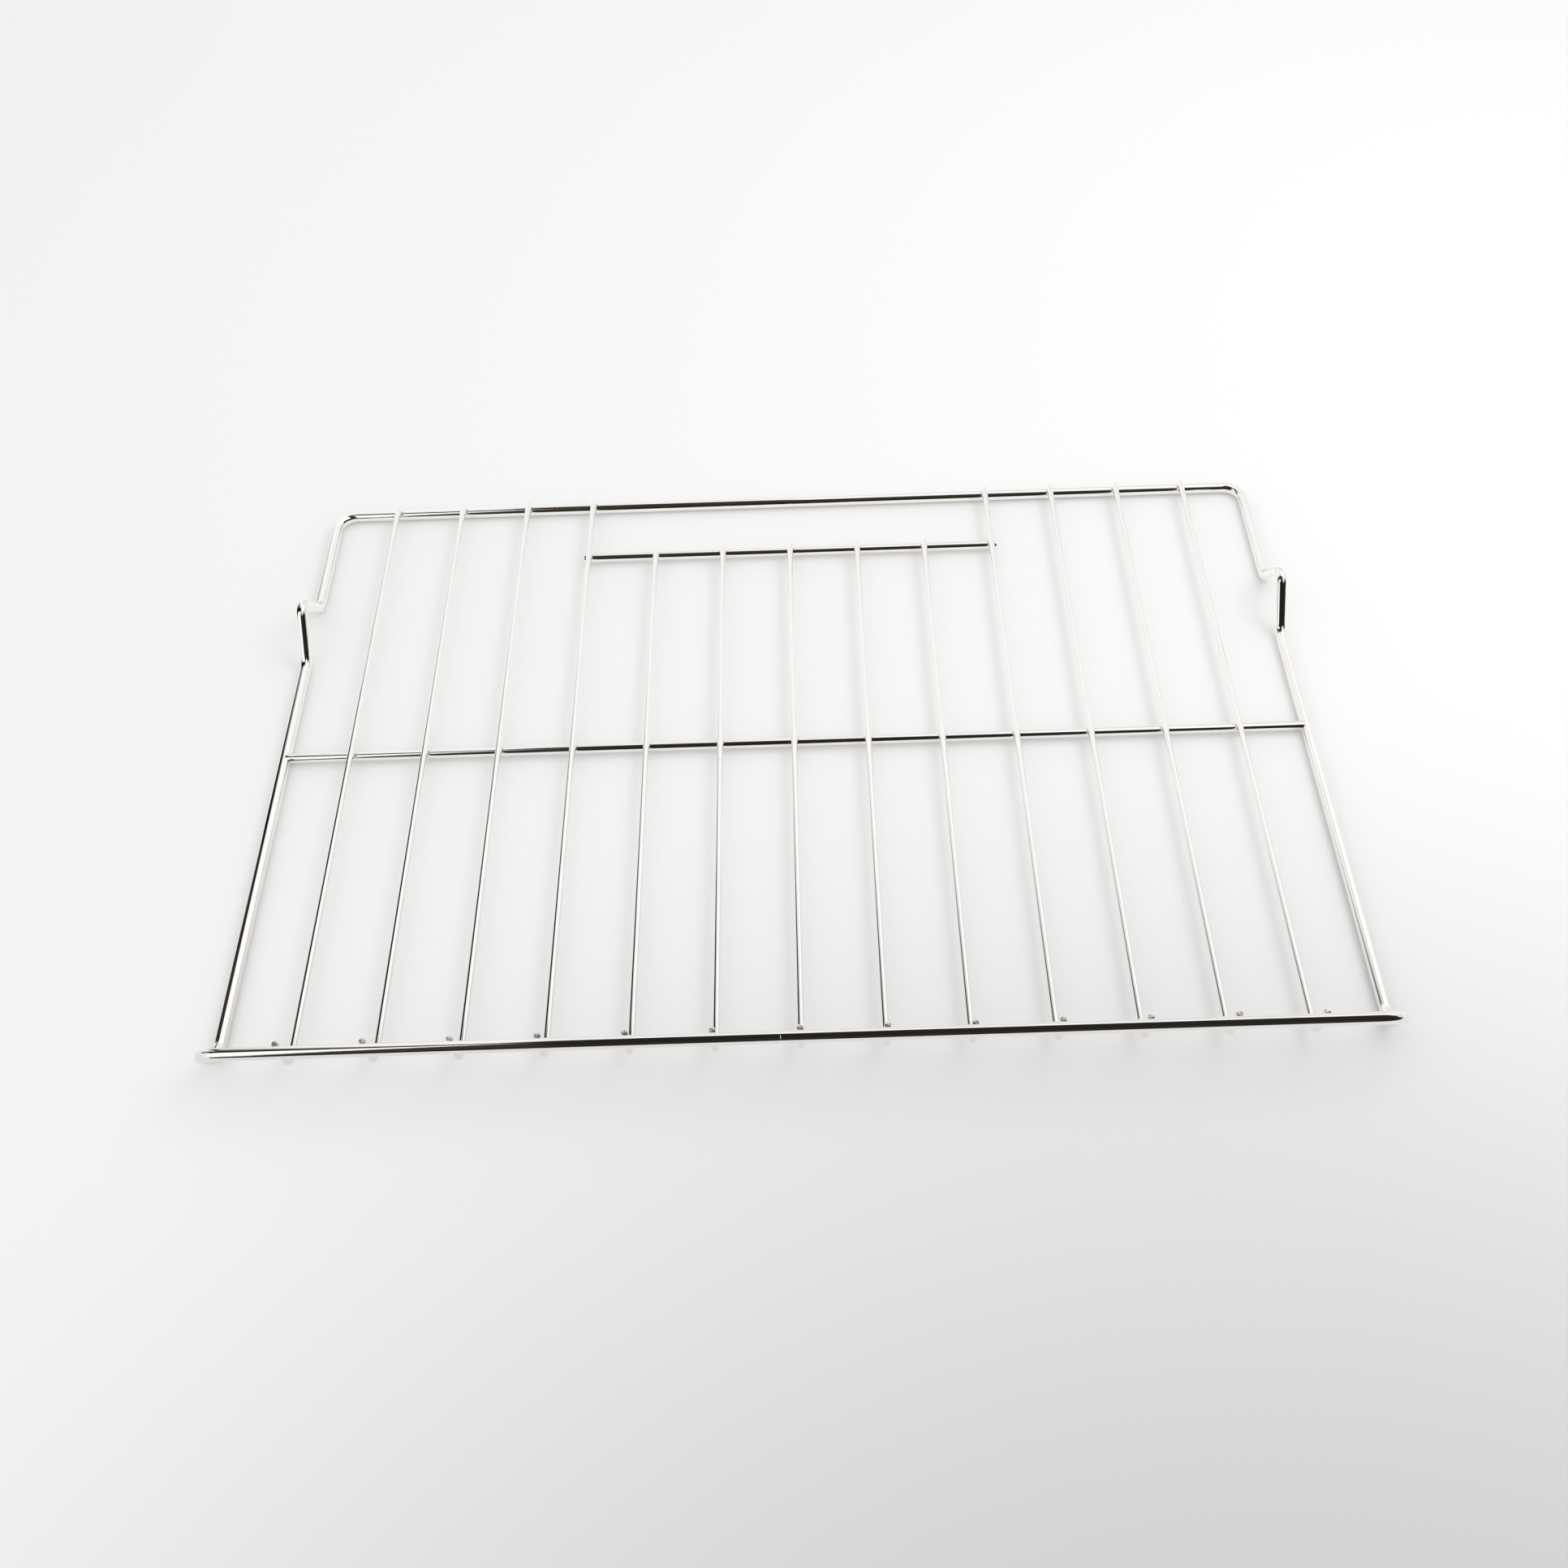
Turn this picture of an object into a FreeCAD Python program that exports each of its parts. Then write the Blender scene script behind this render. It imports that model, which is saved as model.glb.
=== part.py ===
import FreeCAD, Part
import math
import os
import Sketcher

# Oven shelf rack of welded round wire, in millimetres.
# The origin is the middle of the footprint: +X along the width, +Y to the back, +Z up.
# One bent frame carries a middle crossbar, a short inner crossbar and a row of grid wires.
# Each grid wire lies on the bars and turns up at the front, where it is welded behind the front bar.

SIZES = (
    ("frame_dia", 6.35, "wire of the outer frame"),
    ("crossbar_dia", 5.0, "wire of the two crossbars"),
    ("wire_dia", 3.5, "wire of the grid"),
    ("rail_spacing", 582.0, "side rail to side rail, centre to centre"),
    ("frame_depth", 394.0, "front bar to back bar, centre to centre"),
    ("front_bar_rise", 28.0, "front bar above the rails, centre to centre"),
    ("riser_lean", 11.0, "how far the frame's front corners lean forward"),
    ("front_corner_radius", 14.0, "bend from the front bar into the riser"),
    ("riser_foot_radius", 14.0, "bend from the riser into the rail"),
    ("back_corner_radius", 12.0, "bend from the rail into the back bar"),
    ("hump_rise", 27.0, "crest of the hump above the rail, centre lines"),
    ("hump_from_back", 79.0, "back bar to the rear foot of the hump"),
    ("hump_rear_run", 21.0, "rear foot of the hump to its crest"),
    ("hump_front_run", 25.0, "crest of the hump to its front foot"),
    ("hump_bend_radius", 7.0, "bends at the rear foot and at the crest"),
    ("hump_front_radius", 12.0, "bend at the front foot"),
    ("middle_bar_from_back", 196.0, "back bar to the middle crossbar"),
    ("inner_bar_from_back", 45.0, "back bar to the inner crossbar"),
    ("inner_bar_overhang", 4.0, "inner crossbar past its outermost grid wires"),
    ("crossbar_drop", 0.1, "top of the crossbars below the top of the frame"),
    ("wire_pitch", 42.0, "grid wire to grid wire"),
    ("wire_overrun", 2.0, "rear end of a grid wire past the bar that carries it"),
    ("wire_bend_radius", 5.25, "bend where a grid wire turns up"),
    ("wire_tip_rise", 0.5, "tip of a grid wire above the front bar's centre"),
    ("weld_depth", 0.3, "how far a grid wire is pressed onto the frame at a weld"),
)
WIRE_COUNT = 13
SHORT_WIRE_COUNT = 5

# Places that several pieces share, as expressions of the sheet.
RAIL_X = "sizes.rail_spacing / 2"
BACK_Y = "sizes.frame_depth / 2"
FRONT_Y = "-sizes.frame_depth / 2"
RISER_FOOT_Y = "sizes.riser_lean - sizes.frame_depth / 2"
MIDDLE_Y = f"{BACK_Y} - sizes.middle_bar_from_back"
INNER_Y = f"{BACK_Y} - sizes.inner_bar_from_back"
HUMP_REAR_Y = f"{BACK_Y} - sizes.hump_from_back"
HUMP_CREST_Y = f"{HUMP_REAR_Y} - sizes.hump_rear_run"
HUMP_FRONT_Y = f"{HUMP_CREST_Y} - sizes.hump_front_run"
RAIL_SPLIT_Y = f"{BACK_Y} - sizes.hump_from_back / 2"
RISER_Y = f"{FRONT_Y} + (sizes.frame_dia + sizes.wire_dia) / 2 - sizes.weld_depth"
RAIL_Z = "sizes.frame_dia / 2"
FRONT_Z = f"{RAIL_Z} + sizes.front_bar_rise"
CREST_Z = f"{RAIL_Z} + sizes.hump_rise"
CROSSBAR_Z = "sizes.frame_dia - sizes.crossbar_drop - sizes.crossbar_dia / 2"
WIRE_Z = "sizes.frame_dia - sizes.weld_depth + sizes.wire_dia / 2"
TIP_Z = f"{FRONT_Z} + sizes.wire_tip_rise"
RISER_LENGTH = "sqrt(sizes.front_bar_rise ^ 2 + sizes.riser_lean ^ 2)"
RISER_ANGLE = "atan2(sizes.riser_lean; sizes.front_bar_rise)"
INNER_HALF = f"{SHORT_WIRE_COUNT // 2 + 1} * sizes.wire_pitch + sizes.inner_bar_overhang"

doc = FreeCAD.newDocument("oven_shelf_rack")
sheet = doc.addObject("Spreadsheet::Sheet", "sizes")
for row, (alias, size, note) in enumerate(SIZES, 1):
    sheet.set(f"A{row}", alias)
    sheet.set(f"B{row}", str(size))
    sheet.set(f"C{row}", note)
    sheet.setAlias(f"B{row}", alias)
doc.recompute()


def value(expression):
    """The number that an expression of the sheet stands for now."""
    return float(sheet.evalExpression(expression))


def origin_plane(body, role):
    """One of a body's own origin planes, such as XY_Plane."""
    return next(item for item in body.Origin.OriginFeatures if item.Role == role)


def new_sketch(body, name, role, place=("0", "0", "0"), tilt=None):
    """A sketch on an origin plane, moved along the plane's own axes and tilted about its first one."""
    sketch = body.newObject("Sketcher::SketchObject", name)
    sketch.AttachmentSupport = [(origin_plane(body, role), "")]
    sketch.MapMode = "FlatFace"
    angle = value(tilt) if tilt else 0.0
    start = FreeCAD.Vector(*(value(part) for part in place))
    sketch.AttachmentOffset = FreeCAD.Placement(start, FreeCAD.Rotation(FreeCAD.Vector(1, 0, 0), angle))
    for axis, part in zip("xyz", place):
        if part != "0":
            sketch.setExpression(f"AttachmentOffset.Base.{axis}", part)
    if tilt:
        sketch.setExpression("AttachmentOffset.Rotation.Angle", tilt)
    return sketch


def pin_point(sketch, point, place):
    """Ties a sketch point to two expressions, or to an axis where one of them is zero."""
    for kind, axis, part in zip(("DistanceX", "DistanceY"), (-2, -1), place):
        if part == "0":
            sketch.addConstraint(Sketcher.Constraint("PointOnObject", point, 1, axis))
            continue
        index = sketch.addConstraint(Sketcher.Constraint(kind, -1, 1, point, 1, value(part)))
        sketch.setExpression(f"Constraints[{index}]", part)


def arc_between(before, corner, after, radius):
    """The arc that rounds a corner, its two ends along the path, and whether it turns left."""
    back = (before - corner).normalize()
    ahead = (after - corner).normalize()
    half = back.getAngle(ahead) / 2
    reach = radius / math.tan(half)
    middle = (back + ahead).normalize()
    centre = corner + middle * (radius / math.sin(half))
    first = corner + back * reach
    last = corner + ahead * reach
    left = back.cross(ahead).z < 0
    low, high = (first, last) if left else (last, first)
    angles = [math.atan2(end.y - centre.y, end.x - centre.x) for end in (low, high)]
    circle = Part.Circle(centre, FreeCAD.Vector(0, 0, 1), radius)
    return Part.ArcOfCircle(circle, *angles), first, last, left


def bent_path(sketch, places, radii):
    """Draws straight runs through the given corners, joined by tangent arcs of the given radii."""
    corners = [FreeCAD.Vector(value(x), value(y), 0) for x, y in places]
    points = [sketch.addGeometry(Part.Point(corner), True) for corner in corners]
    for point, place in zip(points, places):
        pin_point(sketch, point, place)
    steps = zip(corners, corners[1:], corners[2:], radii)
    arcs = [arc_between(before, corner, after, value(radius)) for before, corner, after, radius in steps]
    starts = [corners[0]] + [last for _, _, last, _ in arcs]
    ends = [first for _, first, _, _ in arcs] + [corners[-1]]
    lines = [sketch.addGeometry(Part.LineSegment(a, b)) for a, b in zip(starts, ends)]
    sketch.addConstraint(Sketcher.Constraint("Coincident", lines[0], 1, points[0], 1))
    sketch.addConstraint(Sketcher.Constraint("Coincident", lines[-1], 2, points[-1], 1))
    for number, (curve, _, _, left) in enumerate(arcs):
        arc = sketch.addGeometry(curve)
        enter, leave = (1, 2) if left else (2, 1)
        corner = points[number + 1]
        sketch.addConstraint(Sketcher.Constraint("Tangent", lines[number], 2, arc, enter))
        sketch.addConstraint(Sketcher.Constraint("Tangent", lines[number + 1], 1, arc, leave))
        sketch.addConstraint(Sketcher.Constraint("PointOnObject", corner, 1, lines[number]))
        sketch.addConstraint(Sketcher.Constraint("PointOnObject", corner, 1, lines[number + 1]))
        index = sketch.addConstraint(Sketcher.Constraint("Radius", arc, value(radii[number])))
        sketch.setExpression(f"Constraints[{index}]", radii[number])


def round_section(sketch, diameter):
    """Draws a wire's round section about the sketch's origin."""
    circle = Part.Circle(FreeCAD.Vector(), FreeCAD.Vector(0, 0, 1), value(diameter) / 2)
    section = sketch.addGeometry(circle)
    sketch.addConstraint(Sketcher.Constraint("Coincident", section, 3, -1, 1))
    index = sketch.addConstraint(Sketcher.Constraint("Diameter", section, value(diameter)))
    sketch.setExpression(f"Constraints[{index}]", diameter)


def wire_run(body, name, section, path):
    """A stretch of round wire: a section swept along a path."""
    run = body.newObject("PartDesign::AdditivePipe", name)
    run.Profile = section
    run.Spine = path
    doc.recompute()
    return run


def make_frame():
    """The outer frame: the right half from the front bar round to the back bar, then its mirror image."""
    body = doc.addObject("PartDesign::Body", "frame")
    body.Label = "frame"

    section = new_sketch(body, "front_section", "YZ_Plane", (FRONT_Y, FRONT_Z, "0"))
    round_section(section, "sizes.frame_dia")
    path = new_sketch(body, "front_path", "XZ_Plane", ("0", FRONT_Z, f"-({FRONT_Y})"), RISER_ANGLE)
    corners = (("0", "0"), (RAIL_X, "0"), (RAIL_X, f"-{RISER_LENGTH} / 2"))
    bent_path(path, corners, ["sizes.front_corner_radius"])
    front = wire_run(body, "front_run", section, path)

    riser_middle = (RAIL_X, f"{FRONT_Y} + sizes.riser_lean / 2", f"{RAIL_Z} + sizes.front_bar_rise / 2")
    section = new_sketch(body, "rail_section", "XY_Plane", riser_middle, RISER_ANGLE)
    round_section(section, "sizes.frame_dia")
    path = new_sketch(body, "rail_path", "YZ_Plane", ("0", "0", RAIL_X))
    corners = (
        riser_middle[1:],
        (RISER_FOOT_Y, RAIL_Z),
        (HUMP_FRONT_Y, RAIL_Z),
        (HUMP_CREST_Y, CREST_Z),
        (HUMP_REAR_Y, RAIL_Z),
        (RAIL_SPLIT_Y, RAIL_Z),
    )
    hump_radii = ["sizes.hump_front_radius", "sizes.hump_bend_radius", "sizes.hump_bend_radius"]
    bent_path(path, corners, ["sizes.riser_foot_radius"] + hump_radii)
    rail = wire_run(body, "rail_run", section, path)

    section = new_sketch(body, "back_section", "XZ_Plane", (RAIL_X, RAIL_Z, f"-({RAIL_SPLIT_Y})"))
    round_section(section, "sizes.frame_dia")
    path = new_sketch(body, "back_path", "XY_Plane", ("0", "0", RAIL_Z))
    bent_path(path, ((RAIL_X, RAIL_SPLIT_Y), (RAIL_X, BACK_Y), ("0", BACK_Y)), ["sizes.back_corner_radius"])
    back = wire_run(body, "back_run", section, path)

    other_half = body.newObject("PartDesign::Mirrored", "left_half")
    other_half.Originals = [front, rail, back]
    other_half.MirrorPlane = (origin_plane(body, "YZ_Plane"), [""])
    body.Tip = other_half
    doc.recompute()
    return body


def make_bar(name, half_length, y):
    """A straight crossbar along X, centred on the rack."""
    body = doc.addObject("PartDesign::Body", name)
    body.Label = name
    section = new_sketch(body, f"{name}_section", "YZ_Plane", (y, CROSSBAR_Z, "0"))
    round_section(section, "sizes.crossbar_dia")
    length = body.newObject("PartDesign::Pad", f"{name}_length")
    length.Profile = section
    length.SideType = "Symmetric"
    length.setExpression("Length", f"2 * ({half_length})")
    doc.recompute()
    return body


def steps_from_middle(number):
    """How many pitches a grid wire lies to the right of the middle one."""
    return number - (WIRE_COUNT + 1) // 2


def make_wire(number, rear_y):
    """A grid wire before its welds: straight from its rear end, then turned up behind the front bar."""
    body = doc.addObject("PartDesign::Body", f"wire_stock_{number:02d}")
    section = new_sketch(body, f"wire_section_{number:02d}", "XZ_Plane", ("0", WIRE_Z, f"-({rear_y})"))
    round_section(section, "sizes.wire_dia")
    path = new_sketch(body, f"wire_path_{number:02d}", "YZ_Plane")
    bent_path(path, ((rear_y, WIRE_Z), (RISER_Y, WIRE_Z), (RISER_Y, TIP_Z)), ["sizes.wire_bend_radius"])
    wire_run(body, f"wire_run_{number:02d}", section, path)
    body.setExpression("Placement.Base.x", f"{steps_from_middle(number)} * sizes.wire_pitch")
    doc.recompute()
    return body


def shaped_by(name, stock, tool):
    """A piece whose ends or welds take the shape of the wire that they meet."""
    cut = doc.addObject("Part::Cut", name)
    cut.Label = name
    cut.Base = stock
    cut.Tool = tool
    return cut


frame = make_frame()
middle_stock = make_bar("middle_stock", RAIL_X, MIDDLE_Y)
middle_bar = shaped_by("middle_crossbar", middle_stock, frame)

inner_bar = make_bar("inner_crossbar", INNER_HALF, INNER_Y)

bars = doc.addObject("Part::MultiFuse", "bars_under_grid")
bars.Shapes = [frame, middle_stock, inner_bar]
doc.recompute()

parts = [frame, middle_bar, inner_bar]
for number in range(1, WIRE_COUNT + 1):
    short = abs(steps_from_middle(number)) <= SHORT_WIRE_COUNT // 2
    carrier_y = INNER_Y if short else BACK_Y
    stock = make_wire(number, f"{carrier_y} + sizes.wire_overrun")
    parts.append(shaped_by(f"grid_wire_{number:02d}", stock, bars))
doc.recompute()

for item in doc.Objects:
    if "Invalid" in item.State or "Error" in item.State:
        raise RuntimeError(f"{item.Label} did not compute: {item.State}")
for part in parts:
    if part.Shape.isNull() or not part.Shape.isValid() or len(part.Shape.Solids) != 1:
        raise RuntimeError(f"{part.Label} is not one valid solid")

os.makedirs("parts", exist_ok=True)
for part in parts:
    part.Shape.exportStep(f"parts/{part.Label}.step")
    print(part.Label, "volume", round(part.Shape.Volume, 1), "mm3")
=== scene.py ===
# %% [markdown]
# # An oven shelf rack in bright plated wire
# An oven rack is made from three thicknesses of drawn steel wire. The thickest one is bent into a closed
# loop, two thinner bars cross it, and thirteen thin wires lie on top and carry the food. Everything is spot
# welded and then plated, so the same mirror skin covers wires, welds and cut ends alike.
# The CAD frame holds every size. It is loaded first and never changed, and each new piece stands in for one
# of its nodes with rounder wire, real weld fillets and rough sheared ends.

# %% Load the CAD frame
import math
import bpy
from mathutils import Matrix, Vector


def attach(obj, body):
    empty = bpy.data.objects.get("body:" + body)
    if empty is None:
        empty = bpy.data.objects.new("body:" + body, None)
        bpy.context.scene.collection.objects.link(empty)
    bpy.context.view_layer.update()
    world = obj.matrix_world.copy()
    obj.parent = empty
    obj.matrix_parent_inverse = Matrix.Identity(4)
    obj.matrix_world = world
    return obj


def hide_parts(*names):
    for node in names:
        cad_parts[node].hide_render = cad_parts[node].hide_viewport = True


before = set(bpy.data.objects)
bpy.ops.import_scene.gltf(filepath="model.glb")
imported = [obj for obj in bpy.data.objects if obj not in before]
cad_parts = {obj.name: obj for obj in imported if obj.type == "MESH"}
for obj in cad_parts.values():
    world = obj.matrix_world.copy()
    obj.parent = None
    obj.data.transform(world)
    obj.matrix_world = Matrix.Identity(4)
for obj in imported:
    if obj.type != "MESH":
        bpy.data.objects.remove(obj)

scene = bpy.context.scene
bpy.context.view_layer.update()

# %% [markdown]
# ## Camera
# The photograph was taken from a little above the front of the rack, looking steeply down, with a slight
# twist of the hand. A camera could be moved about until the picture looks right. Here its place and turns
# were worked out from where the wires cross, so they are typed in and the camera is then left alone.

# %% Set the camera
SENSOR_WIDTH, LENS = 36.0, 34.262                  # millimetres
SHIFT_X, SHIFT_Y = -0.0137, -0.0003                # shares of the picture's width
CAMERA_PLACE, NEAREST = (0.01138, -0.51699, 0.67757), 0.02
LOOK_DOWN, SWING, TWIST = 54.055, 0.675, -2.424    # degrees

camera_data = bpy.data.cameras.new("photo_camera")
camera_data.sensor_width, camera_data.lens = SENSOR_WIDTH, LENS
camera_data.shift_x, camera_data.shift_y = SHIFT_X, SHIFT_Y
camera_data.clip_start = NEAREST
camera = bpy.data.objects.new("photo_camera", camera_data)
scene.collection.objects.link(camera)
look_down = Matrix.Rotation(math.radians(90 - LOOK_DOWN), 4, "X")
swing = Matrix.Rotation(math.radians(SWING), 4, "Z")
twist = Matrix.Rotation(math.radians(TWIST), 4, "Z")
camera.matrix_world = Matrix.Translation(CAMERA_PLACE) @ swing @ look_down @ twist
scene.camera = camera
scene.view_settings.view_transform = "Standard"
print("camera at", tuple(round(c, 3) for c in camera.matrix_world.translation))

# %% [markdown]
# ## Drawing wire
# A wire is a round section swept along a path. A curve with a bevel would do it in one go, but then the
# bends and ends can't be shaped by hand. So a ring of points is added, pulled along each straight run with
# Extrude, and turned round each bend with Spin, the way a wire former feeds and bends. Two extra rings guard
# the ends of every run, because on a mirror the shading of a bend would otherwise creep along the bar.

# %% Helpers that feed and bend a wire
MM = 0.001
GUARD = 0.7 * MM                    # how far the extra rings stand from a bend or an end
BEND_STEP, FEWEST_STEPS = 4, 6      # degrees from ring to ring in a bend, and the fewest steps in one
SAME_PLACE, AT_RING = 0.001 * MM, 0.0001 * MM
SMOOTH_ANGLE = math.radians(50)

def only_this(piece):
    """Select one object alone and make it the active one."""
    bpy.ops.object.select_all(action="DESELECT")
    piece.select_set(True)
    bpy.context.view_layer.objects.active = piece

def start_ring(name, radius, place, way, sides):
    """Add the round section at the start of a wire, square to its first run, and open it for editing."""
    bpy.ops.object.select_all(action="DESELECT")
    tilt = Vector((0, 0, 1)).rotation_difference(way).to_euler()
    bpy.ops.mesh.primitive_circle_add(vertices=sides, radius=radius, location=place, rotation=tilt)
    ring = bpy.context.object
    ring.name = ring.data.name = name
    bpy.ops.object.transform_apply(location=True, rotation=True, scale=True)
    bpy.ops.object.mode_set(mode="EDIT")
    bpy.ops.mesh.select_all(action="SELECT")
    return ring

def pull(step):
    """Extrude the open ring by one step."""
    bpy.ops.mesh.extrude_region_move(TRANSFORM_OT_translate={"value": step})

def swell(scale, centre):
    """Make the open ring wider or narrower about its own centre."""
    bpy.ops.transform.resize(value=(scale, scale, scale), center_override=centre)

def draw_steps(start, way, steps, unit=MM):
    """Pull the open ring along in steps, each one a distance from the start and a width."""
    for (d0, w0), (d1, w1) in zip(steps, steps[1:]):
        pull(way * ((d1 - d0) * unit))
        swell(w1 / w0, start + way * (d1 * unit))

def feed_wire(route, radii):
    """Pull the open ring along a route of corner points, with a spin round a bend at each."""
    here = route[0]
    for corner, after, radius in zip(route[1:], list(route[2:]) + [None], list(radii) + [0]):
        way = (corner - here).normalized()
        if after is None:
            end = corner
        else:
            way_on = (after - corner).normalized()
            angle = way.angle(way_on)
            end = corner - way * radius * math.tan(angle / 2)
        length = (end - here).length
        for share in (GUARD, length - 2 * GUARD, GUARD):
            pull(way * share)
        if after is not None:
            axis = way.cross(way_on).normalized()
            centre = end + axis.cross(way) * radius
            steps = max(FEWEST_STEPS, round(math.degrees(angle) / BEND_STEP))
            # Spin turns the other way from the right-hand rule, so the angle is negative.
            bpy.ops.mesh.spin(steps=steps, angle=-angle, center=centre, axis=axis)
            here = corner + way_on * radius * math.tan(angle / 2)

def pick(piece, wanted):
    """Select the points that pass a test, with the edges between them, and open the piece for editing."""
    bpy.ops.object.mode_set(mode="OBJECT")
    for v in piece.data.vertices:
        v.select = wanted(v.co)
    for e in piece.data.edges:
        e.select = all(piece.data.vertices[i].select for i in e.vertices)
    for f in piece.data.polygons:
        f.select = False
    bpy.ops.object.mode_set(mode="EDIT")

def close_mesh(piece, gap=SAME_PLACE):
    """Merge points closer than the gap, point all faces outwards, leave edit mode and shade it round."""
    bpy.ops.mesh.select_all(action="SELECT")
    bpy.ops.mesh.remove_doubles(threshold=gap)
    bpy.ops.mesh.normals_make_consistent(inside=False)
    bpy.ops.object.mode_set(mode="OBJECT")
    only_this(piece)
    bpy.ops.object.shade_smooth_by_angle(angle=SMOOTH_ANGLE)
    print(piece.name, "faces:", len(piece.data.polygons))

# %% [markdown]
# ## The outer frame
# One length of the thick wire runs all the way round. It comes up at the front into a raised bar, drops at
# each side to the rail that slides in the oven, climbs over a stop hump near the back, and closes along the
# back edge. The two ends of the wire meet in a butt weld just left of the middle of the front bar, so that is
# where the ring starts and ends. There the section is pinched a little, as the ground-off weld is.

# %% Bend the frame loop
FRAME_R, FRAME_SIDES = 6.33 / 2 * MM, 64
RAIL_X, FRONT_Y, BACK_Y = 291 * MM, -197 * MM, 197 * MM
LOW_Z, HIGH_Z = 3.175 * MM, 31.175 * MM
FOOT_Y = FRONT_Y + 11 * MM
HUMP_FRONT, HUMP_TOP, HUMP_REAR = 72 * MM, 97 * MM, 118 * MM
HUMP_Z = LOW_Z + 27 * MM
FRONT_BEND, HUMP_START_BEND, HUMP_BEND, BACK_BEND = 14 * MM, 12 * MM, 7 * MM, 12 * MM
SEAM_X, SEAM_GAP = -9.5 * MM, 0.05 * MM
SEAM_STEPS = ((0.0, 0.972), (0.2, 0.988), (0.5, 1.0))    # millimetres from the seam, and the width there
NICK_FROM, NICK_SHIFT = HIGH_Z + 0.75 * FRAME_R, (0.05 * MM, 0, -0.12 * MM)

def side_route(side):
    """The corner points of one side, from the front bar to the back bar, and the bend radius at each."""
    x = side * RAIL_X
    points = [(x, FRONT_Y, HIGH_Z), (x, FOOT_Y, LOW_Z), (x, HUMP_FRONT, LOW_Z), (x, HUMP_TOP, HUMP_Z),
              (x, HUMP_REAR, LOW_Z), (x, BACK_Y, LOW_Z)]
    radii = [FRONT_BEND, FRONT_BEND, HUMP_START_BEND, HUMP_BEND, HUMP_BEND, BACK_BEND]
    return [Vector(p) for p in points], radii

to_left, to_right = Vector((-1, 0, 0)), Vector((1, 0, 0))
seam = Vector((SEAM_X, FRONT_Y, HIGH_Z))
beside = to_right * (SEAM_STEPS[-1][0] * MM)
left_points, left_radii = side_route(-1)
right_points, right_radii = side_route(1)
frame_loop = start_ring("frame_loop", FRAME_R * SEAM_STEPS[0][1], seam, to_left, FRAME_SIDES)
draw_steps(seam, to_left, SEAM_STEPS)
route = [seam - beside] + left_points + right_points[::-1] + [seam + beside]
feed_wire(route, left_radii + right_radii[::-1])
draw_steps(seam, to_right, SEAM_STEPS[::-1])
close_mesh(frame_loop, SEAM_GAP)

# A small nick on top of the seam, where the grinding wheel slipped.
pick(frame_loop, lambda co: abs(co.x - SEAM_X) < SEAM_GAP and co.z > NICK_FROM)
bpy.ops.transform.translate(value=NICK_SHIFT)
bpy.ops.object.mode_set(mode="OBJECT")
sizes = [max(axis) - min(axis) for axis in zip(*[v.co for v in frame_loop.data.vertices])]
print("frame loop size in mm:", [round(size / MM, 2) for size in sizes])

# %% [markdown]
# ## The two crossbars
# A middle bar joins the rails and a short bar near the back carries the five wires that stop early. Both are
# cut from straight wire. A cylinder would have razor edges, so each end is stepped in with a few small
# extrusions, which rounds it the way a tumbled cut end is.

# %% Draw the crossbars
BAR_R, BAR_Z, BAR_SIDES = 2.5 * MM, 3.75 * MM, 48
MIDDLE_Y, INNER_Y = 1 * MM, 152 * MM
MIDDLE_X, INNER_X = RAIL_X - FRAME_R + 2.2 * MM, 130 * MM    # the middle bar sinks 2.2 mm into each rail
MIDDLE_DOME, INNER_DOME = 0.4 * MM, 0.7 * MM
# Shares of an end's depth and of the wire's width.
DOME_STEPS = ((0.0, 1.0), (0.30, 0.97), (0.62, 0.86), (0.84, 0.66), (0.96, 0.36))

def round_end(centre, way, depth):
    """Close the open ring with a slightly domed end, as a cut and plated wire has."""
    draw_steps(centre, way, DOME_STEPS, depth)
    pull(way * depth * (1 - DOME_STEPS[-1][0]))
    bpy.ops.mesh.merge(type="CENTER")

def straight_bar(name, reach, y, depth):
    """A straight wire across the rack, drawn from its left end to its right one and rounded at both."""
    first = Vector((-reach, y, BAR_Z)) + to_right * depth
    last = Vector((reach, y, BAR_Z)) - to_right * depth
    bar = start_ring(name, BAR_R, first, to_right, BAR_SIDES)
    feed_wire([first, last], [])
    round_end(last, to_right, depth)
    pick(bar, lambda co: abs(co.x - first.x) < AT_RING)
    round_end(first, to_left, depth)
    close_mesh(bar)
    return bar

middle_bar = straight_bar("middle_bar", MIDDLE_X, MIDDLE_Y, MIDDLE_DOME)
inner_bar = straight_bar("inner_bar", INNER_X, INNER_Y, INNER_DOME)

# %% [markdown]
# ## The grid wires
# Each thin wire lies on the bars, turns up behind the front bar and is sheared off there. There are three
# kinds: long ones, long ones that also cross the short bar, and short ones. One of each is modelled and all
# thirteen are copies with a mesh of their own. Spot welding presses a small flat into the wire above every
# bar, so rings are cut there with Bisect and the top points are pushed down.

# %% Model one wire of each kind
WIRE_R, WIRE_Z, WIRE_SIDES, PITCH = 1.75 * MM, 7.8 * MM, 40, 42 * MM
RISER_Y, TIP_Z, WIRE_BEND = -192.375 * MM, 31.675 * MM, 5.25 * MM
LONG_Y, SHORT_Y, REAR_DOME = 199 * MM, 154 * MM, 0.8 * MM
TIP_DEPTH = 0.5 * MM
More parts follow.
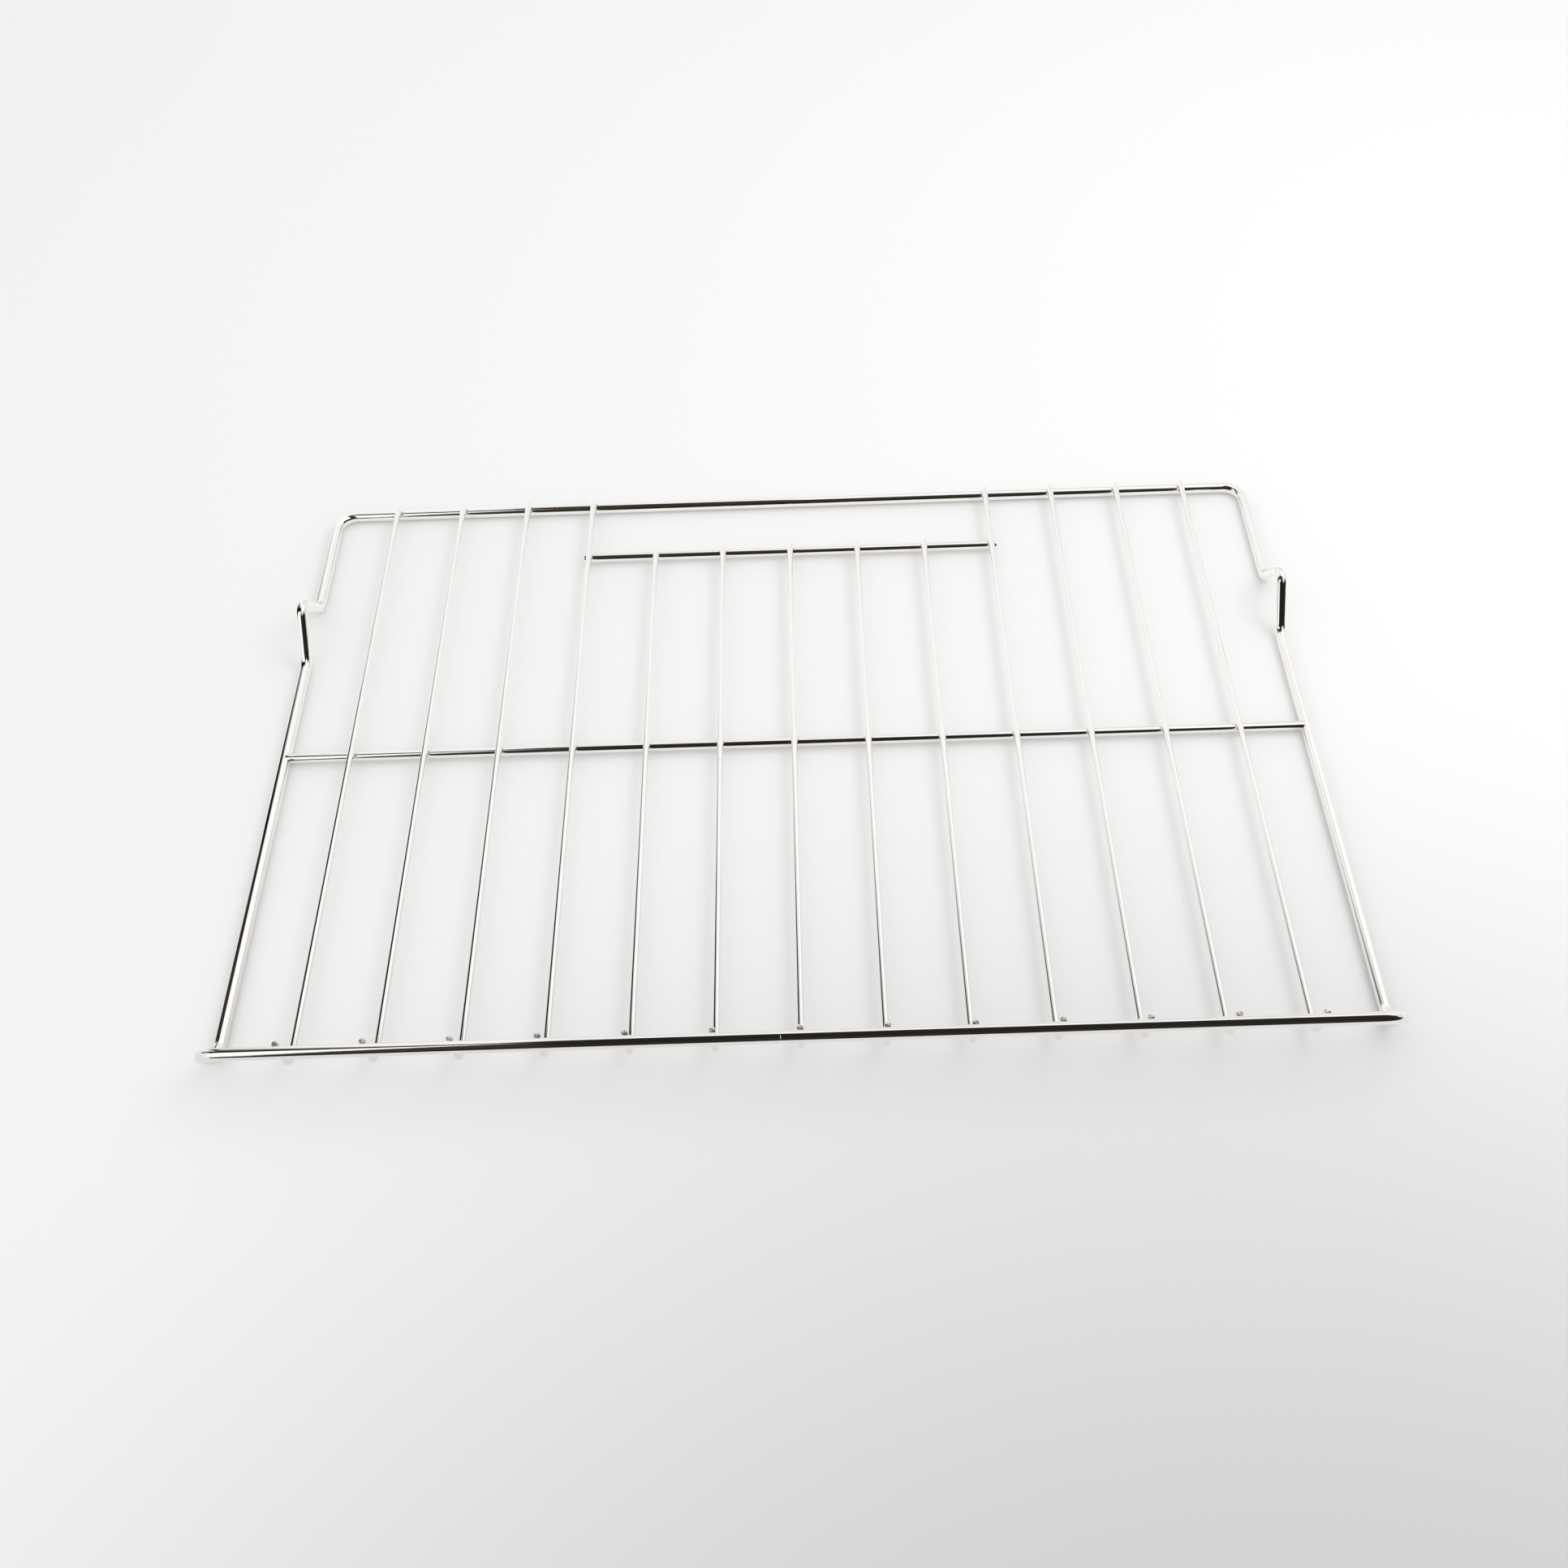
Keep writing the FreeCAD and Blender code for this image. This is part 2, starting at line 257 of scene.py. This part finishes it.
# The rise of each step of the tip in millimetres, and its width against the step before.
TIP_STEPS = ((0.22, 0.985), (0.14, 0.94), (0.06, 0.86), (0.03, 0.84), (0.02, 0.8), (0.01, 0.7),
             (0.01, 0.45))
PRESS_RINGS = (-3.4, -2.0, -1.0, 1.0, 2.0, 3.4)    # millimetres before and behind a crossing
PRESS_REACH, PRESS_DEPTH, PRESS_Z = 1.1 * MM, 0.03 * MM, WIRE_Z + 0.8 * WIRE_R
END_WELD = 0.5 * MM                                # a flat at a wire's very end lies this much before the bar

def press_flat(wire, y):
    """Cut rings round a crossing and press the top of the wire down, as the welding electrode does."""
    for offset in PRESS_RINGS:
        bpy.ops.mesh.select_all(action="SELECT")
        bpy.ops.mesh.bisect(plane_co=(0, y + offset * MM, WIRE_Z), plane_no=(0, 1, 0))
    pick(wire, lambda co: abs(co.y - y) < PRESS_REACH and co.z > PRESS_Z)
    bpy.ops.transform.translate(value=(0, 0, -PRESS_DEPTH))

def model_wire(name, rear_y, crossings):
    """A grid wire at x = 0: rounded rear end, straight run, front bend, riser and a sheared tip."""
    to_front, to_back, up = Vector((0, -1, 0)), Vector((0, 1, 0)), Vector((0, 0, 1))
    rear, corner = Vector((0, rear_y - REAR_DOME, WIRE_Z)), Vector((0, RISER_Y, WIRE_Z))
    tip = Vector((0, RISER_Y, TIP_Z - TIP_DEPTH))
    wire = start_ring(name, WIRE_R, rear, to_front, WIRE_SIDES)
    feed_wire([rear, corner, tip], [WIRE_BEND])
    for rise, scale in TIP_STEPS:
        pull(up * rise * MM)
        tip = tip + up * rise * MM
        swell(scale, tip)
    bpy.ops.mesh.merge(type="CENTER")
    pick(wire, lambda co: abs(co.y - rear.y) < AT_RING)
    round_end(rear, to_back, REAR_DOME)
    for y in crossings:
        press_flat(wire, y)
    close_mesh(wire)
    return wire

long_wire = model_wire("long_wire", LONG_Y, (MIDDLE_Y, BACK_Y - END_WELD))
crossing_wire = model_wire("crossing_wire", LONG_Y, (MIDDLE_Y, INNER_Y, BACK_Y - END_WELD))
short_wire = model_wire("short_wire", SHORT_Y, (MIDDLE_Y, INNER_Y - END_WELD))

# %% [markdown]
# Now the copies are set out at the pitch of the grid. Every tip was sheared by a worn blade, so no two
# look the same. A Displace modifier with a cloud pattern roughens only the tip, through a vertex group, and
# because the pattern stays still in space each wire meets a different part of it.

# %% Copy the wires across the rack and roughen the sheared tips
NUMBERS, CENTRE_WIRE = range(1, 14), 7             # counted from the left
SHORT_ONES, CROSSING_ONES, INNER_ONES = range(5, 10), (4, 10), range(4, 11)
ROUGH_FROM, ROUGH_BLEND, ROUGH_HEIGHT = TIP_Z - 0.35 * MM, 0.2 * MM, 0.22 * MM

shear_pattern = bpy.data.textures.new("sheared_steel", "CLOUDS")
shear_pattern.noise_scale, shear_pattern.noise_depth = 1.3 * MM, 2

def wire_x(number):
    """Where a wire lies across the rack."""
    return (number - CENTRE_WIRE) * PITCH

def copy_to(pattern, name, shift, turn=(0, 0, 0)):
    """Copy a piece with its own mesh and bake its new place and turn into the mesh."""
    only_this(pattern)
    bpy.ops.object.duplicate(linked=False)
    piece = bpy.context.object
    piece.name = piece.data.name = name
    piece.location, piece.rotation_euler = shift, turn
    bpy.ops.object.transform_apply(location=True, rotation=True, scale=True)
    return piece

def roughen_tip(wire):
    """Break up the flat sheared face at the front tip."""
    group = wire.vertex_groups.new(name="tip")
    for v in wire.data.vertices:
        height = (v.co.z - ROUGH_FROM) / ROUGH_BLEND
        if height > 0:
            group.add([v.index], min(1.0, height), "REPLACE")
    only_this(wire)
    rough = wire.modifiers.new("shear marks", "DISPLACE")
    rough.texture, rough.texture_coords = shear_pattern, "LOCAL"
    rough.vertex_group, rough.direction = "tip", "Z"
    rough.mid_level, rough.strength = 0.5, ROUGH_HEIGHT
    bpy.ops.object.modifier_apply(modifier=rough.name)

grid_wires = []
for number in NUMBERS:
    pattern = short_wire if number in SHORT_ONES else crossing_wire if number in CROSSING_ONES else long_wire
    wire = copy_to(pattern, f"wire_{number:02d}", (wire_x(number), 0, 0))
    roughen_tip(wire)
    grid_wires.append(wire)
for pattern in (long_wire, crossing_wire, short_wire):
    bpy.data.objects.remove(pattern)
print("grid wires:", len(grid_wires))

# %% [markdown]
# ## Weld fillets
# Where a wire is pressed into a bar, a little molten steel is squeezed out and freezes as a small skirt.
# It is widest along the bar and climbs the flanks of the wire. A ring is stacked up in seven steps, wide and
# flat at the bar, waisted in the middle and long at the wire, with its rims hidden inside both.

# %% Model one fillet and copy it to every crossing
# Height over the bar, reach along the bar and reach along the wire, in millimetres.
FILLET_STEPS = ((-1.5, 2.9, 1.7), (-0.25, 2.75, 1.3), (0.08, 2.35, 1.2), (0.45, 2.0, 1.3), (0.9, 1.8, 1.6),
                (1.3, 1.68, 1.9), (1.7, 1.45, 2.0))
FILLET_SIDES, FRONT_WELD_Z = 28, HIGH_Z - 1.6 * MM
UPRIGHT = (math.radians(-90), 0, 0)                # for a wire that stands behind a bar

def model_fillet(name):
    """The fillet of a wire that runs along Y over a bar that runs along X, with the bar's top at z = 0."""
    z, along_bar, along_wire = FILLET_STEPS[0]
    fillet = start_ring(name, MM, Vector((0, 0, z * MM)), Vector((0, 0, 1)), FILLET_SIDES)
    bpy.ops.transform.resize(value=(along_bar, along_wire, 1), center_override=(0, 0, z * MM))
    bpy.ops.mesh.edge_face_add()
    for (z0, a0, b0), (z1, a1, b1) in zip(FILLET_STEPS, FILLET_STEPS[1:]):
        pull(Vector((0, 0, (z1 - z0) * MM)))
        bpy.ops.transform.resize(value=(a1 / a0, b1 / b0, 1), center_override=(0, 0, z1 * MM))
    close_mesh(fillet)
    return fillet

fillet = model_fillet("fillet")
fillets = []
for number in NUMBERS:
    x = wire_x(number)
    fillets.append(copy_to(fillet, f"weld_middle_{number:02d}", (x, MIDDLE_Y, BAR_Z + BAR_R)))
    if number in INNER_ONES:
        fillets.append(copy_to(fillet, f"weld_inner_{number:02d}", (x, INNER_Y, BAR_Z + BAR_R)))
    if number not in SHORT_ONES:
        fillets.append(copy_to(fillet, f"weld_back_{number:02d}", (x, BACK_Y, LOW_Z + FRAME_R)))
    behind_bar = (x, FRONT_Y + FRAME_R, FRONT_WELD_Z)
    fillets.append(copy_to(fillet, f"weld_front_{number:02d}", behind_bar, UPRIGHT))
bpy.data.objects.remove(fillet)
print("weld fillets:", len(fillets))

# %% [markdown]
# The middle bar is pressed end-on into both rails while the steel is soft. Its ends swell a little and sink
# into the rail, so the joint looks like a thumb pressed into clay. A ring is pulled along in small steps to
# make the swollen end, and its two rims stay hidden inside the bar and the rail.

# %% Model the swollen ends of the middle bar
# Distance before the rail's inner face and radius, in millimetres.
COLLAR_STEPS = ((3.8, 2.485), (3.2, 2.503), (2.4, 2.525), (1.4, 2.575), (0.4, 2.625), (-0.6, 2.65),
                (-1.4, 2.63), (-2.0, 2.53), (-2.45, 2.33), (-2.75, 2.0), (-2.9, 1.5))
COLLAR_SIDES = 40

def model_collar(name, side):
    """The swollen end of the middle bar where it sinks into the rail on one side."""
    way = Vector((side, 0, 0))
    rail_face = Vector((side * (RAIL_X - FRAME_R), MIDDLE_Y, BAR_Z))
    before, radius = COLLAR_STEPS[0]
    collar = start_ring(name, radius * MM, rail_face - way * before * MM, way, COLLAR_SIDES)
    bpy.ops.mesh.edge_face_add()
    draw_steps(rail_face, -way, COLLAR_STEPS)
    close_mesh(collar)
    return collar

collars = [model_collar("collar_left", -1), model_collar("collar_right", 1)]

# %% [markdown]
# ## The plating
# Bright nickel and chrome plating is a mirror with very faint ripples, because the steel under it was drawn
# and not polished. A plain metal colour would look like a computer picture, so a node group makes the
# ripples, a few specks and a slight change of gloss, and each finish takes it with its own strength. The same
# few kinds of node come back in the room and in the paper, so small helpers add and join them.

# %% Helpers that add nodes
def node(tree, kind, **values):
    """Add a node and set its plain properties."""
    made = tree.nodes.new(kind)
    for key, value in values.items():
        setattr(made, key, value)
    return made

def join(tree, how, a, b):
    """Join two values: MULTIPLY keeps what both masks have, MAXIMUM what either has."""
    joined = node(tree, "ShaderNodeMath", operation=how)
    tree.links.new(a, joined.inputs[0])
    tree.links.new(b, joined.inputs[1])
    return joined.outputs[0]

def add_share(tree, base, value, share):
    """Add a share of one value to another."""
    added = node(tree, "ShaderNodeMath", operation="MULTIPLY_ADD")
    added.inputs[1].default_value = share
    tree.links.new(value, added.inputs[0])
    tree.links.new(base, added.inputs[2])
    return added.outputs[0]

def soft_step(tree, value, start, end, top=1.0):
    """A mask that climbs softly from 0 at the start to its top at the end."""
    climb = node(tree, "ShaderNodeMapRange", interpolation_type="SMOOTHSTEP")
    climb.inputs["From Min"].default_value, climb.inputs["From Max"].default_value = start, end
    climb.inputs["To Max"].default_value = top
    tree.links.new(value, climb.inputs["Value"])
    return climb.outputs["Result"]

def grey(level):
    """A grey as a colour."""
    return (level, level, level, 1)

def paint(tree, mask, over, under):
    """Lay a colour, or something painted before, over what is already there, where the mask says."""
    mix = node(tree, "ShaderNodeMix", data_type="RGBA")
    for layer, socket in ((under, mix.inputs["A"]), (over, mix.inputs["B"])):
        if isinstance(layer, tuple):
            socket.default_value = layer
        else:
            tree.links.new(layer, socket)
    tree.links.new(mask, mix.inputs["Factor"])
    return mix.outputs["Result"]

# %% Build the plating node group
# Scale and detail of slow ripples, fine ripples and specks.
NOISES = ((90.0, 2.0), (700.0, 2.0), (2600.0, 1.0))
SPECK_EDGE = (0.72, 0.77)
FINE_RIPPLE, SPECK_HEIGHT, GLOSS_CHANGE, SPECK_DULLNESS = 0.22, 0.06, 0.05, 0.12
BRIGHT_TINT, HAZY_TINT = (0.83, 0.815, 0.79, 1), (0.60, 0.585, 0.56, 1)

def build_plating_group():
    """Ripple height, gloss and tint of plated wire, read from the piece's own coordinates in metres."""
    group = bpy.data.node_groups.new("plated_skin", "ShaderNodeTree")
    for label, usual in (("Ripple", 1.0), ("Roughness", 0.05), ("Grime", 0.2)):
        group.interface.new_socket(label, in_out="INPUT", socket_type="NodeSocketFloat").default_value = usual
    for label, kind in (("Colour", "Color"), ("Roughness", "Float"), ("Height", "Float")):
        group.interface.new_socket(label, in_out="OUTPUT", socket_type="NodeSocket" + kind)
    given, result = group.nodes.new("NodeGroupInput"), group.nodes.new("NodeGroupOutput")
    place = group.nodes.new("ShaderNodeTexCoord")
    patterns = []
    for scale, detail in NOISES:
        noise = group.nodes.new("ShaderNodeTexNoise")
        noise.inputs["Scale"].default_value, noise.inputs["Detail"].default_value = scale, detail
        group.links.new(place.outputs["Object"], noise.inputs["Vector"])
        patterns.append(noise.outputs["Fac"])
    slow, fine, specks = patterns
    spots = soft_step(group, specks, *SPECK_EDGE)
    ripple = join(group, "MULTIPLY", add_share(group, slow, fine, FINE_RIPPLE), given.outputs["Ripple"])
    gloss = add_share(group, given.outputs["Roughness"], fine, GLOSS_CHANGE)
    haze = join(group, "MULTIPLY", slow, given.outputs["Grime"])
    group.links.new(add_share(group, ripple, spots, SPECK_HEIGHT), result.inputs["Height"])
    group.links.new(add_share(group, gloss, spots, SPECK_DULLNESS), result.inputs["Roughness"])
    group.links.new(paint(group, haze, HAZY_TINT, BRIGHT_TINT), result.inputs["Colour"])
    return group

plated_skin = build_plating_group()
print("plating group nodes:", len(plated_skin.nodes))

# %% [markdown]
# Three finishes share that group. The drawn wire is the smoothest, weld metal is lumpier, and a sheared tip
# is rougher still. Metal, with no colour of its own under it, needs only Metallic at one.

# %% Make the finishes and put them on the pieces
TIP_FACE_Z = TIP_Z - 0.2 * MM                      # faces above this belong to the sheared tip

def plated_finish(name, ripple, roughness, grime, bump):
    """A bright plated material with its own amount of ripple and dullness."""
    finish = bpy.data.materials.new(name)
    finish.use_nodes = True
    tree = finish.node_tree
    shader = tree.nodes["Principled BSDF"]
    shader.inputs["Metallic"].default_value = 1.0
    skin = tree.nodes.new("ShaderNodeGroup")
    skin.node_tree = plated_skin
    skin.inputs["Ripple"].default_value = ripple
    skin.inputs["Roughness"].default_value = roughness
    skin.inputs["Grime"].default_value = grime
    relief = tree.nodes.new("ShaderNodeBump")
    relief.inputs["Strength"].default_value = 1.0
    relief.inputs["Distance"].default_value = bump
    tree.links.new(skin.outputs["Colour"], shader.inputs["Base Color"])
    tree.links.new(skin.outputs["Roughness"], shader.inputs["Roughness"])
    tree.links.new(skin.outputs["Height"], relief.inputs["Height"])
    tree.links.new(relief.outputs["Normal"], shader.inputs["Normal"])
    return finish

drawn_wire = plated_finish("plated_drawn_wire", ripple=1.0, roughness=0.07, grime=0.25, bump=0.012 * MM)
weld_metal = plated_finish("plated_weld_metal", ripple=2.5, roughness=0.07, grime=0.5, bump=0.10 * MM)
sheared_tip = plated_finish("plated_sheared_tip", ripple=2.0, roughness=0.25, grime=0.9, bump=0.08 * MM)

for piece, nodes in [(frame_loop, "frame"), (middle_bar, "middle_crossbar"), (inner_bar, "inner_crossbar")]:
    piece.data.materials.append(drawn_wire)
    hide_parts(nodes)
for number, wire in enumerate(grid_wires, 1):
    wire.data.materials.append(drawn_wire)
    wire.data.materials.append(sheared_tip)
    for face in wire.data.polygons:
        face.material_index = int(face.center.z > TIP_FACE_Z)
    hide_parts(f"grid_wire_{number:02d}")
for piece in fillets:
    piece.data.materials.append(weld_metal)
for piece in collars:
    piece.data.materials.append(drawn_wire)
pieces = [frame_loop, middle_bar, inner_bar] + grid_wires + fillets + collars
for piece in pieces:
    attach(piece, "root")
print("pieces:", len(pieces))

# %% [markdown]
# ## The studio
# A mirror shows the room, so the room is what makes plated wire look right. The rack of the photograph stands
# on white paper between white walls, the left one the brightest, and its camera's side of the room is a warm
# black. Lamps alone would leave the wires black all round. So the far room is painted on the world as a few
# soft-edged zones, each one side of a plane through the rack. Only what the metal mirrors needs them: paper
# and shadows get an even light, and the camera an even backdrop.

# %% Paint the far room on the world
LEFT_WALL, RIGHT_WALL, LOW_WALL = grey(1.14), grey(0.93), grey(0.84)
WINDOW, HIGH_RIGHT = grey(1.2), grey(1.25)
GLOOM_ABOVE, GLOOM_BELOW = (0.047, 0.039, 0.033, 1), (0.0168, 0.0138, 0.0116, 1)
EVEN_LIGHT, BACKDROP = grey(0.9), grey(0.87)
UP, DOWN, NEAR = (0, 0, 1), (0, 0, -1), (0, -1, 0)

world = bpy.data.worlds.new("studio_room")
scene.world = world
world.use_nodes = True
room = world.node_tree
sight = room.nodes.new("ShaderNodeTexCoord")
rays = room.nodes.new("ShaderNodeLightPath")

def zone(normal, soft, start=0.0):
    """A mask of the directions on the normal's side of a plane; a start near 1 leaves only a spot."""
    towards = node(room, "ShaderNodeVectorMath", operation="DOT_PRODUCT")
    towards.inputs[1].default_value = Vector(normal).normalized()
    room.links.new(sight.outputs["Generated"], towards.inputs[0])
    return soft_step(room, towards.outputs["Value"], start - soft, start + soft)

right_half = zone((1, 0.1, 0), 0.5)
window = zone((0.65, 0.66, 0.38), 0.06, 0.965)
low_part = zone(DOWN, 0.14, -0.06)
dark_side = join(room, "MAXIMUM", zone((-0.402, -0.79, 0.286), 0.13, -0.09), zone(NEAR, 0.06))
right_top = join(room, "MULTIPLY", zone((0.659, 0.291, -0.105), 0.03, -0.05), zone(UP, 0.08, 0.68))

view = paint(room, right_half, RIGHT_WALL, LEFT_WALL)
view = paint(room, window, WINDOW, view)
view = paint(room, low_part, LOW_WALL, view)
view = paint(room, dark_side, paint(room, zone(UP, 0.5, 0.4), GLOOM_ABOVE, GLOOM_BELOW), view)
view = paint(room, right_top, HIGH_RIGHT, view)
view = paint(room, rays.outputs["Is Diffuse Ray"], EVEN_LIGHT, view)
view = paint(room, rays.outputs["Is Camera Ray"], BACKDROP, view)
room.links.new(view, room.nodes["Background"].inputs["Color"])
print("room nodes:", len(room.nodes))

# %% [markdown]
# Two light boxes, two white boards and a dark flag stand close to the rack. Near things look different from
# each end of a bar, which the world can't show, so these five are real cards. Each is a plane whose corners
# are listed one by one, and only reflections see it, so it never blocks the light or the view.

# %% Set up the light boxes, the boards and the flag
WHITE, WARM_BLACK = (1, 1, 1, 1), (1, 0.83, 0.70, 1)
# Name, strength, colour, fade along Y and corners, in the order of a new plane's points.
CARDS = (
    ("light_box", 1.3, WHITE, None,
     ((-1.60, -1.03, 0.30), (-0.63, -1.03, 0.445), (-1.40, -0.08, 0.85), (-0.33, -0.13, 1.01))),
    ("left_board", 1.0, WHITE, None,
     ((-1.45, -1.2, 0.0), (-1.45, 0.25, 0.0), (-1.45, -1.2, 0.9), (-1.45, 0.25, 0.9))),
    ("top_box", 1.25, WHITE, None,
     ((0.0, 0.17, 0.78), (1.3, 0.17, 0.78), (0.0, 0.68, 0.78), (1.3, 0.68, 0.78))),
    ("back_board", 1.15, WHITE, (0.14, 0.52),
     ((-0.5, 0.08, 0.0), (-0.5, 1.7, 0.0), (-0.5, 0.08, 1.6), (-0.5, 1.7, 1.6))),
    ("dark_flag", 0.02, WARM_BLACK, None,
     ((-0.17, -0.46, 0.25), (0.75, -0.46, 0.25), (-0.17, -0.05, 0.25), (0.75, -0.125, 0.25))))

def glow_card(name, strength, colour, fade, corners):
    """A glowing card that only mirrors can see; with a fade, its light climbs from none along Y."""
    bpy.ops.object.select_all(action="DESELECT")
    bpy.ops.mesh.primitive_plane_add(size=1)
    card = bpy.context.object
    card.name = card.data.name = name
    for v, corner in zip(card.data.vertices, corners):
        v.co = corner
    glow = bpy.data.materials.new(name + "_glow")
    glow.use_nodes = True
    tree = glow.node_tree
    shader = tree.nodes["Principled BSDF"]
    shader.inputs["Base Color"].default_value = (0, 0, 0, 1)
    shader.inputs["Specular IOR Level"].default_value = 0.0
    shader.inputs["Emission Color"].default_value = colour
    shader.inputs["Emission Strength"].default_value = strength
    if fade:
        spot, apart = tree.nodes.new("ShaderNodeTexCoord"), tree.nodes.new("ShaderNodeSeparateXYZ")
        tree.links.new(spot.outputs["Object"], apart.inputs[0])
        tree.links.new(soft_step(tree, apart.outputs["Y"], *fade), shader.inputs["Emission Color"])
    card.data.materials.append(glow)
    card.visible_camera = card.visible_diffuse = card.visible_shadow = False

for card in CARDS:
    glow_card(*card)
print("cards:", len(CARDS))

# %% [markdown]
# ## Floor and lamp
# White paper on a table is the plain floor. A round patch of shade darkens its near right corner, where the
# paper runs out of the light. The rear half of the paper is lit more, which is told to the mirrors only, as a
# little glow. One large soft lamp above the right side gives the wires their faint shadows.

# %% Lay the floor and hang the lamp
FLOOR_SIZE, PAPER, SHADED_PAPER = 12, grey(0.94), grey(0.62)
SHADE_CENTRE, SHADE_EDGE = (0.22, -0.745, 0), (0.80, 0.20)    # the shade climbs from its rim to its middle
REAR_EDGE, REAR_GLOW = (-0.20, 0.05), 0.22
LAMP_SIZE, LAMP_WATTS, LAMP_PLACE, LAMP_AIM = (1.2, 0.6), 2.6, (0.8, 0.25, 1.0), (0.15, 0, 0)

bpy.ops.object.select_all(action="DESELECT")
bpy.ops.mesh.primitive_plane_add(size=FLOOR_SIZE, location=(0, 0, 0))
floor = bpy.context.object
floor.name = "paper_floor"
paper = bpy.data.materials.new("white_paper")
paper.use_nodes = True
tree = paper.node_tree
sheet = tree.nodes["Principled BSDF"]
sheet.inputs["Roughness"].default_value = 0.9
sheet.inputs["Specular IOR Level"].default_value = 0.1
spot, seen = tree.nodes.new("ShaderNodeTexCoord"), tree.nodes.new("ShaderNodeLightPath")
away = node(tree, "ShaderNodeVectorMath", operation="DISTANCE")
away.inputs[1].default_value = SHADE_CENTRE
tree.links.new(spot.outputs["Object"], away.inputs[0])
shade = soft_step(tree, away.outputs["Value"], *SHADE_EDGE)
shade = join(tree, "MULTIPLY", shade, seen.outputs["Is Camera Ray"])
tree.links.new(paint(tree, shade, SHADED_PAPER, PAPER), sheet.inputs["Base Color"])
apart = tree.nodes.new("ShaderNodeSeparateXYZ")
tree.links.new(spot.outputs["Object"], apart.inputs[0])
rear = soft_step(tree, apart.outputs["Y"], *REAR_EDGE, top=REAR_GLOW)
rear = join(tree, "MULTIPLY", rear, seen.outputs["Is Glossy Ray"])
tree.links.new(rear, sheet.inputs["Emission Strength"])
floor.data.materials.append(paper)

lamp_data = bpy.data.lights.new("soft_lamp", "AREA")
lamp_data.shape, (lamp_data.size, lamp_data.size_y) = "RECTANGLE", LAMP_SIZE
lamp_data.energy = LAMP_WATTS
lamp = bpy.data.objects.new("soft_lamp", lamp_data)
scene.collection.objects.link(lamp)
lamp.location = LAMP_PLACE
lamp.rotation_euler = (Vector(LAMP_AIM) - lamp.location).to_track_quat("-Z", "Y").to_euler()
lamp.visible_glossy = lamp.visible_camera = False
print("lamp watts:", lamp_data.energy)
